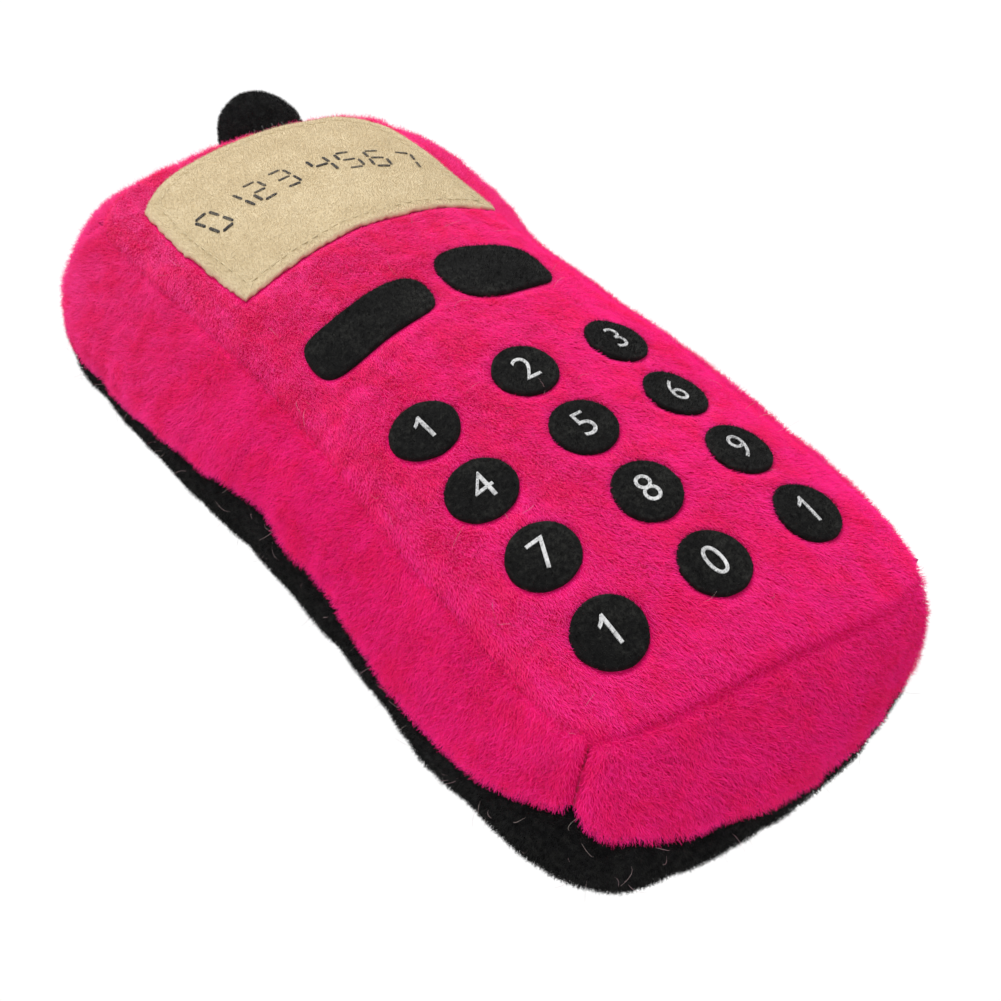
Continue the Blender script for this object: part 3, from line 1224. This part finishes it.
def build_print(name, plan, faces, lift, thickness, material):
    """Thin print that follows the front, 'lift' above it."""
    bm = bmesh.new()
    corners = [bm.verts.new((x, y, 0)) for x, y in plan]
    for face in faces:
        try:
            bm.faces.new([corners[i] for i in face])
        except ValueError:
            # guards against a font fill that repeats a face
            pass
    bmesh.ops.remove_doubles(bm, verts=bm.verts, dist=1e-5)
    bmesh.ops.triangulate(bm, faces=bm.faces)
    # cut long edges so the print can bend
    for _ in range(3):
        long_edges = [edge for edge in bm.edges if edge.calc_length() > 0.9]
        if not long_edges:
            break
        bmesh.ops.subdivide_edges(bm, edges=long_edges, cuts=1)
        bmesh.ops.triangulate(bm, faces=bm.faces)
    bm.normal_update()
    for face in bm.faces:
        if face.normal.z < 0:
            face.normal_flip()
    extruded = bmesh.ops.extrude_face_region(bm, geom=list(bm.faces))["geom"]
    top = {item for item in extruded if isinstance(item, bmesh.types.BMVert)}
    heights = front_top(np.array([vert.co[:2] for vert in bm.verts]))
    for vert, height in zip(bm.verts, heights):
        vert.co.z = height + lift + (thickness if vert in top else 0.0)
    bmesh.ops.recalc_face_normals(bm, faces=bm.faces)
    for vert in bm.verts:
        vert.co *= MM
    mesh = bpy.data.meshes.new(name)
    bm.to_mesh(mesh)
    bm.free()
    mesh.materials.append(material)
    obj = bpy.data.objects.new(name, mesh)
    scene.collection.objects.link(obj)
    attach(obj, "front_face")


for piece, centre, digit in KEYS:
    if digit == "1":
        plan, faces = ONE_OUTLINE, [list(range(len(ONE_OUTLINE)))]
    else:
        plan, faces = text_mesh(digit, NUMERAL_HEIGHT)
    build_print(piece + "_numeral", plan * (0.95, 1.0) + centre, faces,
                lift=APPLIQUE_RISE - 0.16, thickness=0.34, material=WHITE_PRINT)

DIGIT_W, DIGIT_H, STROKE, STROKE_GAP = 3.7, 7.6, 0.58, 0.28
DIGIT_PITCH, DIGIT_SPACE, DIGITS_START = 5.9, 2.8, -21.2
SCREEN_TEXT = "0123 4567"
# Lit segments: a top, b and c right, d bottom, e and f left, g middle.
SEGMENTS = {"0": "abcdef", "1": "bc", "2": "abged", "3": "abgcd", "4": "fgbc", "5": "afgcd",
            "6": "afgedc", "7": "abc"}
# Segment ends, as shares of the digit's width and height.
SEGMENT_ENDS = {"a": ((0, 1), (1, 1)), "g": ((0, 0.5), (1, 0.5)), "d": ((0, 0), (1, 0)),
                "f": ((0, 0.5), (0, 1)), "e": ((0, 0), (0, 0.5)), "b": ((1, 0.5), (1, 1)),
                "c": ((1, 0), (1, 0.5))}


def digit_polygons(digit):
    """Pointed strokes of a seven-segment digit, centred on the origin."""
    size = np.array([DIGIT_W, DIGIT_H])
    polygons = []
    for segment in SEGMENTS[digit]:
        start, end = np.array(SEGMENT_ENDS[segment], float) * size
        along = (end - start) / np.linalg.norm(end - start)
        side = np.array([-along[1], along[0]]) * STROKE / 2
        point = along * STROKE * 0.4
        start = start + along * (STROKE_GAP + STROKE * 0.35)
        end = end - along * (STROKE_GAP + STROKE * 0.35)
        polygon = np.array([start, start + point - side, end - point - side,
                            end, end - point + side, start + point + side])
        polygons.append(polygon - size / 2)
    return polygons


def build_screen_digits():
    """Digits along a shallow arc, each turned to follow it."""
    verts, faces, count = [], [], 0
    left = DIGITS_START
    for digit in SCREEN_TEXT:
        if digit == " ":
            left += DIGIT_SPACE
            continue
        x = left + DIGIT_W / 2
        y = 64.0 - 0.0085 * (x - 3.0) ** 2
        tilt = math.atan(-0.017 * (x - 3.0)) * 0.8
        cos, sin = math.cos(tilt), math.sin(tilt)
        for polygon in digit_polygons(digit):
            px, py = polygon.T
            verts.append(np.c_[px * cos - py * sin, px * sin + py * cos] + (x, y))
            faces.append(list(range(count, count + len(polygon))))
            count += len(polygon)
        left += DIGIT_PITCH
    build_print("screen_digits", np.vstack(verts), faces, lift=APPLIQUE_RISE - 0.20,
                thickness=0.42, material=DARK_PRINT)


build_screen_digits()

# ---- antenna ----------------------------------------------------------------------------------

ANTENNA_X, ANTENNA_Y, ANTENNA_Z = 11.8, 96.2, 23.0  # middle of its root
ANTENNA_W, ANTENNA_H, ANTENNA_L = 18.0, 17.0, 15.0
ANTENNA_TURN = math.radians(-4.0)                   # about z
TURN_COS, TURN_SIN = math.cos(ANTENNA_TURN), math.sin(ANTENNA_TURN)
WHIP_COUNT = 26


def top_end_y(x, z):
    """Where the top end of the body lies, at x and z."""
    steps = np.linspace(10.5, 19.5, 400)
    back_y, front_y = [np.interp(x, *edge(steps).T) for edge in (BACK_EDGE, FRONT_EDGE)]
    up = clamp((z - SEAM_Z) / (28.0 - SEAM_Z))
    low = clamp(1 - z / SEAM_Z)
    return (back_y + (front_y - back_y) * up + GUSSET_BULGE * np.sin(np.pi * up)
            - BACK_INSET * (1 - (1 - low**BACK_POWER) ** (1 / BACK_POWER))
            + BACK_BULGE * np.sin(np.pi * np.minimum(1, low * 1.15)))


def root_y(x, z):
    """Where the body's end lies from the antenna's root, at places across the antenna."""
    return top_end_y(x * TURN_COS + ANTENNA_X, z + ANTENNA_Z) - ANTENNA_Y


def antenna_points(x, y, z):
    """Places in the antenna's own turned frame, as points of the toy."""
    return np.stack([x * TURN_COS - y * TURN_SIN + ANTENNA_X,
                     x * TURN_SIN + y * TURN_COS + ANTENNA_Y, z + ANTENNA_Z], -1)


def squarish(wave):
    """Sine or cosine pushed out a little, for a slightly square round."""
    return np.sign(wave) * np.abs(wave) ** 0.92


def stub_grid(shrink, shorten, root_gap, around, along, seed, roughness):
    """Soft stub: gathered at the root, domed at the tip."""
    angles = np.arange(around) * 2 * np.pi / around
    half_x = (ANTENNA_W - shrink) / 2 * squarish(np.cos(angles))
    half_z = (ANTENNA_H - shrink) / 2 * squarish(np.sin(angles))
    rows = []
    for share in 1 - (1 - np.linspace(0, 1, along)) ** 1.7:
        dome = math.sqrt(max(0.0, 1 - max(0.0, (share - 0.25) / 0.75) ** 2.3))
        opened = min(1.0, share / 0.4)
        opened = opened * opened * (3 - 2 * opened)
        x = half_x * max(dome * (0.90 + 0.10 * opened), 0.025)
        z = half_z * max(dome * (0.66 + 0.34 * opened), 0.025)
        root = root_y(x, z) + root_gap
        rows.append(antenna_points(x, root + (ANTENNA_L - shorten - root) * share, z))
    grid = np.stack(rows, 1)
    normals = grid_normals(grid, closed=True)
    middle = grid[:, along // 2]
    if (normals[:, along // 2] * (middle - middle.mean(0))).sum() < 0:
        normals = -normals
    lumps = (0.55 * fbm(grid, 8.0, 2, seed) + 0.25 * fbm(grid, 3.5, 2, seed + 1)
             + 0.12 * fbm(grid, 1.1, 2, seed + 2))
    return grid + normals * (roughness * lumps)[..., None], normals


def cap_ring(verts, faces, ring, reverse=False):
    """Closes a ring of vertices with a fan about its mean."""
    centre = len(verts)
    fan = [[here, beside, centre] for here, beside in zip(ring, np.roll(ring, -1))]
    if reverse:
        fan = [face[::-1] for face in fan]
    return np.vstack([verts, verts[ring].mean(0)]), list(faces) + fan


def build_antenna_cover():
    around, along = detail(170), detail(90)
    grid, normals = stub_grid(shrink=0.8, shorten=0.4, root_gap=0.1, around=around,
                              along=along, seed=600, roughness=1.0)
    verts, faces, face_material, pile = cloth_shell(
        grid, 1.2, np.ones(grid.shape[:2]), outward=normals, closed=True, end_rim=False)
    tip = np.arange(around) * along + along - 1
    verts, faces = cap_ring(verts, faces, tip)
    verts, faces = cap_ring(verts, faces, tip + around * along, reverse=True)
    face_material = np.concatenate([face_material, np.zeros(around), np.ones(around)])
    obj = make_object("antenna_cover_plush", verts, faces, [BLACK_PLUSH, BLACK_PLUSH],
                      np.append(pile, [1.0, 0.0]), face_material)
    register(obj, "antenna_cover")
    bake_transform(obj)
    add_pile(obj, density=14.0, length=0.8, radius=0.04, material=BLACK_PILE,
             nap=(0, 0.5, -0.2), seed=601, spread=0.8)


def build_antenna_filling():
    around, along = detail(90), detail(40)
    grid, _ = stub_grid(shrink=4.4, shorten=2.6, root_gap=3.0, around=around, along=along,
                        seed=640, roughness=1.6)
    root = np.arange(around) * along
    verts, faces = cap_ring(grid.reshape(-1, 3), grid_faces(around, along, closed=True),
                            root + along - 1)
    root_centre = len(verts)
    verts = np.vstack([verts, verts[root].mean(0)])
    # black cloth closes the root end, so no white shows when the front is pressed in
    face_material = [0] * len(faces) + [1] * around
    faces += [[beside, here, root_centre] for here, beside in zip(root, np.roll(root, -1))]
    obj = make_object("antenna_fibre_fill", verts, faces, [FIBRE, BLACK_PLUSH],
                      face_material=face_material)
    register(obj, "antenna_stuffing", "antenna")


def build_whip_stitches():
    """Short stitches across the join at the antenna's root."""
    along = np.linspace(0, 1, 6)
    lift = 0.30 - 0.55 * (along - 0.5) ** 2
    paths = []
    for i in range(WHIP_COUNT):
        angle = 2 * math.pi * (i + 0.5) / WHIP_COUNT
        x = (ANTENNA_W / 2 * 0.905 - 0.3 + lift) * squarish(math.cos(angle))
        z = (ANTENNA_H / 2 * 0.665 - 0.3 + lift) * squarish(math.sin(angle))
        y = root_y(x, z) + 0.15 + 1.5 * along
        paths.append(antenna_points(x + 0.35 * (along - 0.5), y, z))
    build_stitches("antenna_whip_stitch", paths, radius=0.2, sides=8, material=BLACK_THREAD,
                   replaced="antenna_base_stitching", slot="black_thread",
                   ride="antenna_root")


build_antenna_cover()
build_antenna_filling()
build_whip_stitches()

# ---- seam threads -----------------------------------------------------------------------------

SEAM_PITCH = 2.8
seam_thread = partial(build_stitches, radius=0.24, sides=6)


def seam_paths(line):
    """Stitch paths end to end along a line, each bowed up a little."""
    lengths = run_length(line)
    paths = []
    for i in range(int(lengths[-1] / SEAM_PITCH)):
        where = np.linspace((i + 0.06) * SEAM_PITCH, (i + 0.94) * SEAM_PITCH, 6)
        path = points_at(where, lengths, line)
        path[:, 2] += 0.10 * (1 - np.linspace(-1, 1, 6) ** 2)
        paths.append(path)
    return paths


def corner_paths():
    """Four stitches down each corner seam."""
    paths = []
    for key in CORNERS:
        front = FRONT_EDGE(FRONT_AT[key])
        low = SEAM_Z + float(seam_lift(BACK_AT[key]))
        back = side_xy(np.array(BACK_AT[key]), np.array(low))
        high = float(front_z(front)) - 2.2
        inward = -unit(back - front)
        for i in range(4):
            share = np.linspace((i + 0.1) / 4, (i + 0.9) / 4, 6) * 0.8 + 0.1
            plan = front + (back - front) * share[:, None] + inward * 1.9
            paths.append(with_z(plan, high + (low - high) * share))
    return paths


def build_seam_threads():
    place = np.linspace(0, EDGE_COUNT, 2001)
    z = SEAM_Z + seam_lift(place) + 0.55 * pucker(BACK_EDGE.arc(place), 19)
    back_line = with_z(side_xy(place, z) - 1.4 * BACK_EDGE.normal(place), z)
    follow_press(seam_thread("back_seam_stitches", seam_paths(back_line),
                             material=BLACK_THREAD, replaced="back_seam_thread",
                             slot="black_thread"))
    front = FRONT_EDGE(place)
    front_line = with_z(front - 1.6 * FRONT_EDGE.normal(place), front_z(front) - 3.4)
    seam_thread("front_seam_stitches", seam_paths(front_line), material=PINK_THREAD,
                replaced="front_seam_thread", slot="pink_thread", ride="front_face")
    follow_press(seam_thread("corner_seam_stitches", corner_paths(), material=PINK_THREAD,
                             replaced="corner_seam_threads", slot="pink_thread"))


build_seam_threads()

# ---- filling ----------------------------------------------------------------------------------

BULB_CENTRE = np.array([0.0, 12.0, 19.5])
FILL_INSET = 3.6        # filling, inside the cover
FILL_SHOULDER_Z = 28.5  # above this the filling closes in


def filling_ring(place, z):
    """Outline of the filling at a height."""
    back, front = BACK_EDGE(place), FRONT_EDGE(place)
    normal = BACK_EDGE.normal(place)
    drawn = np.minimum(smooth_table(SIDE_IN, place), 0)
    if z <= SEAM_Z:
        down = 1 - z / SEAM_Z
        tuck = 1 - (1 - min(1, down) ** BACK_POWER) ** (1 / BACK_POWER)
        plan = back + normal * (-BACK_INSET * 1.25 * tuck - FILL_INSET + drawn)[:, None]
    elif z <= FILL_SHOULDER_Z:
        up = (z - SEAM_Z) / (FILL_SHOULDER_Z - SEAM_Z)
        inset = (-FILL_INSET + drawn * (1 - up**3))[:, None]
        plan = back + (front - back) * up + normal * inset
    else:
        spine = np.c_[np.zeros(len(place)), np.clip(front[:, 1], -50, 60)]
        size = 1 - min(0.97, (z - FILL_SHOULDER_Z) / 9.5) ** 2.2 * 0.9
        plan = spine + (front - normal * FILL_INSET - spine) * size
    return with_z(plan, np.minimum(z, front_top(plan) - FILL_INSET))


def hollow_z(plan, side):
    """Height of the squeaker's hollow, on its upper (+1) or lower (-1) side."""
    x, y = plan.T
    from_middle = np.hypot(x - BULB_CENTRE[0], y - BULB_CENTRE[1])
    depth = np.sqrt(clamp(1 - (from_middle / 23.2) ** 2)) * 10.9 + 0.3
    in_neck = (np.abs(x) < 6.6) & (y < 2) & (y > -17.5)
    neck_depth = np.sqrt(np.clip(6.6**2 - x**2, 0, None)) * in_neck
    return BULB_CENTRE[2] + side * np.maximum(depth, neck_depth)


def add_lid(verts, faces, ring, lid_z):
    """Closes a ring with rings shrinking to the middle; lid_z(plan) gives their height."""
    middle = BULB_CENTRE[:2]
    edge = verts[ring, :2]
    for share in np.linspace(0, 1, 16)[1:]:
        plan = middle + (edge - middle) * (1 - share * 0.98)
        new = np.arange(len(verts), len(verts) + len(plan))
        verts = np.vstack([verts, with_z(plan, lid_z(plan))])
        faces += np.stack([ring, np.roll(ring, -1), np.roll(new, -1), new], -1).tolist()
        ring = new
    faces.append(ring.tolist())
    return verts


def build_filling(name, replaced, low, high, low_lid, high_lid, seed):
    """Lumpy fibre filling between two heights inside the cover."""
    around, along = detail(260), detail(30)
    place = np.arange(around) * float(EDGE_COUNT) / around
    rings = [filling_ring(place, low + (high - low) * share)
             for share in np.linspace(0, 1, along)]
    grid = np.stack(rings, 1)
    lumps = clamp(0.5 + 0.5 * fbm(grid, 7.0, 3, seed))[..., None] * 0.9
    grid = grid - unit(grid - np.array([0, 5.0, 19.0])) * lumps
    grid[..., 2] = np.clip(grid[..., 2], low, high)
    verts = grid.reshape(-1, 3)
    faces = grid_faces(around, along, closed=True).tolist()
    ring = np.arange(around) * along
    verts = add_lid(verts, faces, ring, low_lid)
    verts = add_lid(verts, faces, ring + along - 1, high_lid)
    obj = make_object(name, verts, faces, [FIBRE])
    register(obj, replaced)
    return obj


def under_front(plan, level):
    return np.minimum(level, front_top(plan) - FILL_INSET)


LOWER_FILL_Z, UPPER_FILL_Z = (3.2, 19.2), (19.8, 36.0)
lower_filling = build_filling(
    "fibre_fill_lower", "stuffing_under_squeaker", *LOWER_FILL_Z, seed=700,
    low_lid=partial(under_front, level=LOWER_FILL_Z[0]), high_lid=partial(hollow_z, side=-1))
follow_press(lower_filling)
upper_filling = build_filling(
    "fibre_fill_upper", "stuffing_over_squeaker", *UPPER_FILL_Z, seed=720,
    low_lid=partial(hollow_z, side=1), high_lid=partial(under_front, level=60.0))
follow_press(upper_filling)

# ---- squeaker bulb: thin blown shell with a parting ridge and a neck towards -Y ---------------

BULB_RADIUS, BULB_WALL = 22.0, 1.0
RIM_RADIUS, DOME_RADIUS = 6.0, 40.0
RIM_X, DOME_DROP = 16.0, 30.0   # rim arc's centre from the axis; dome's centre from the middle
NECK_RADIUS, NECK_LENGTH, BORE_RADIUS = 5.6, 5.0, 4.06


def bulb_profile(wall):
    """Section (radius, z) from top to bottom, set in by a wall."""
    rim, dome = RIM_RADIUS - wall, DOME_RADIUS - wall
    dome_angle = math.atan2(RIM_X, DOME_DROP)
    top = [(dome * math.sin(angle), dome * math.cos(angle) - DOME_DROP)
           for angle in np.linspace(0.02, dome_angle, 22)]
    rim_angle = math.atan2(DOME_DROP, RIM_X)
    side = [(RIM_X + rim * math.cos(angle), rim * math.sin(angle))
            for angle in np.linspace(rim_angle, -rim_angle, 26)]
    low = [(x, -z) for x, z in top[::-1]]
    return np.array(top + side[1:] + low[1:])


def build_spun(name, profile):
    """Closed solid of revolution about z."""
    around, count = detail(160), len(profile)
    angles = (np.arange(around) * 2 * np.pi / around)[:, None]
    radius, z = profile.T
    grid = np.stack([radius * np.cos(angles), radius * np.sin(angles),
                     z * np.ones_like(angles)], -1)
    verts = np.vstack([grid.reshape(-1, 3), [0, 0, z[0]], [0, 0, z[-1]]])
    faces = grid_faces(around, count, closed=True).tolist()
    for i in range(around):
        here, beside = i * count, (i + 1) % around * count
        faces.append([here, beside, around * count])
        faces.append([beside + count - 1, here + count - 1, around * count + 1])
    return make_object(name, verts, faces, [])


def build_cylinder(name, radius, start, end, sides=64):
    """Closed cylinder along y."""
    angles = np.arange(sides) * 2 * np.pi / sides
    rings = [np.c_[radius * np.cos(angles), np.full(sides, y), radius * np.sin(angles)]
             for y in (start, end)]
    faces = []
    for i in range(sides):
        j = (i + 1) % sides
        faces += [[i, j, sides + j, sides + i], [2 * sides, j, i],
                  [2 * sides + 1, sides + i, sides + j]]
    return make_object(name, np.vstack([*rings, [[0, start, 0], [0, end, 0]]]), faces, [])


def boolean(obj, other, operation):
    modifier = obj.modifiers.new("b", "BOOLEAN")
    modifier.operation = operation
    modifier.solver = "EXACT"
    modifier.object = other
    graph = bpy.context.evaluated_depsgraph_get()
    mesh = bpy.data.meshes.new_from_object(obj.evaluated_get(graph))
    obj.modifiers.clear()
    obj.data = mesh
    bpy.data.objects.remove(other)


def build_bulb():
    outside = bulb_profile(0.0)
    outside[:, 0] += 0.35 * hump(outside[:, 1] / 0.5) * (outside[:, 0] > 15)
    bulb = build_spun("squeaker_bulb_blown", outside)
    hollow = build_spun("bulb_hollow", bulb_profile(BULB_WALL))
    neck_end = -BULB_RADIUS - NECK_LENGTH
    neck = build_cylinder("neck", NECK_RADIUS, -BULB_RADIUS + 3.0, neck_end)
    bore = build_cylinder("bore", BORE_RADIUS, -BULB_RADIUS + 4.5, neck_end - 3.0)
    boolean(bulb, neck, "UNION")
    boolean(bulb, hollow, "DIFFERENCE")
    boolean(bulb, bore, "DIFFERENCE")
    mesh = bulb.data
    mesh.transform(Matrix.Translation(Vector(BULB_CENTRE * MM)))
    mesh.materials.clear()
    mesh.materials.append(VINYL)
    mesh.polygons.foreach_set("use_smooth", np.ones(len(mesh.polygons), bool))
    register(bulb, "squeaker_bulb", "squeaker")
    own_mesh(bulb)


build_bulb()
for piece, material in (("squeaker_plug", PLUG), ("squeaker_reed", REED)):
    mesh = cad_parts[piece].data
    mesh.materials.clear()
    mesh.materials.append(material)

# ---- stage, in metres: pale floor, soft light, camera -----------------------------------------

FLOOR_HALF, FLOOR_Z = 6, -0.0002
WORLD_SEEN, WORLD_LIGHT = 1.02, 0.72    # background strength for the camera, and as light
LIGHT_TARGET = Vector((0, 0, 0.02))


def build_floor():
    material, surface, _ = new_material("floor")
    set_inputs(surface, {"Base Color": (0.9, 0.9, 0.9, 1), "Roughness": 0.85})
    mesh = bpy.data.meshes.new("floor")
    corners = [(x * FLOOR_HALF, y * FLOOR_HALF, FLOOR_Z)
               for x, y in ((-1, -1), (1, -1), (1, 1), (-1, 1))]
    mesh.from_pydata(corners, [], [(0, 1, 2, 3)])
    mesh.materials.append(material)
    floor = bpy.data.objects.new("floor", mesh)
    scene.collection.objects.link(floor)
    floor.visible_camera = False


def build_world():
    """The camera sees plain white; the toy is lit by a softer level."""
    world = bpy.data.worlds.new("studio")
    world.use_nodes = True
    scene.world = world
    add = partial(add_node, world.node_tree)
    seen = add("ShaderNodeLightPath", output="Is Camera Ray")
    strength = add("ShaderNodeMath", {0: seen, 1: WORLD_SEEN - WORLD_LIGHT, 2: WORLD_LIGHT},
                   operation="MULTIPLY_ADD")
    set_inputs(world.node_tree.nodes["Background"], {0: (1, 1, 1, 1), 1: strength})


def add_light(name, location, size, power):
    """Round area light aimed at the toy."""
    light = bpy.data.lights.new(name, "AREA")
    light.shape = "DISK"
    light.size = size
    light.energy = power
    obj = bpy.data.objects.new(name, light)
    scene.collection.objects.link(obj)
    obj.location = location
    aim = LIGHT_TARGET - Vector(location)
    obj.rotation_euler = aim.to_track_quat("-Z", "Y").to_euler()


def add_camera():
    camera = bpy.data.cameras.new("cam")
    camera.lens = 46.045
    camera.sensor_width = 36.0
    camera.clip_start = 0.005
    camera.clip_end = 20.0
    obj = bpy.data.objects.new("cam", camera)
    scene.collection.objects.link(obj)
    rightward = Vector((0.80096369, -0.59788719, 0.03143369))
    upward = Vector((0.41825851, 0.59634448, 0.68515187))
    forward = Vector((0.42838883, 0.53563436, -0.72772168))
    pose = Matrix((rightward, upward, -forward)).transposed().to_4x4()
    pose.translation = Vector((-0.10221235, -0.13481687, 0.17698386))
    obj.matrix_world = pose
    scene.camera = obj


build_floor()
build_world()
add_light("key", (0.05, 0.28, 0.62), size=0.35, power=3.3)
add_light("fill", (-0.6, -0.35, 0.30), size=0.6, power=1.2)
add_light("rim", (0.50, 0.45, 0.30), size=0.4, power=1.0)
scene.view_settings.view_transform = "Standard"
add_camera()
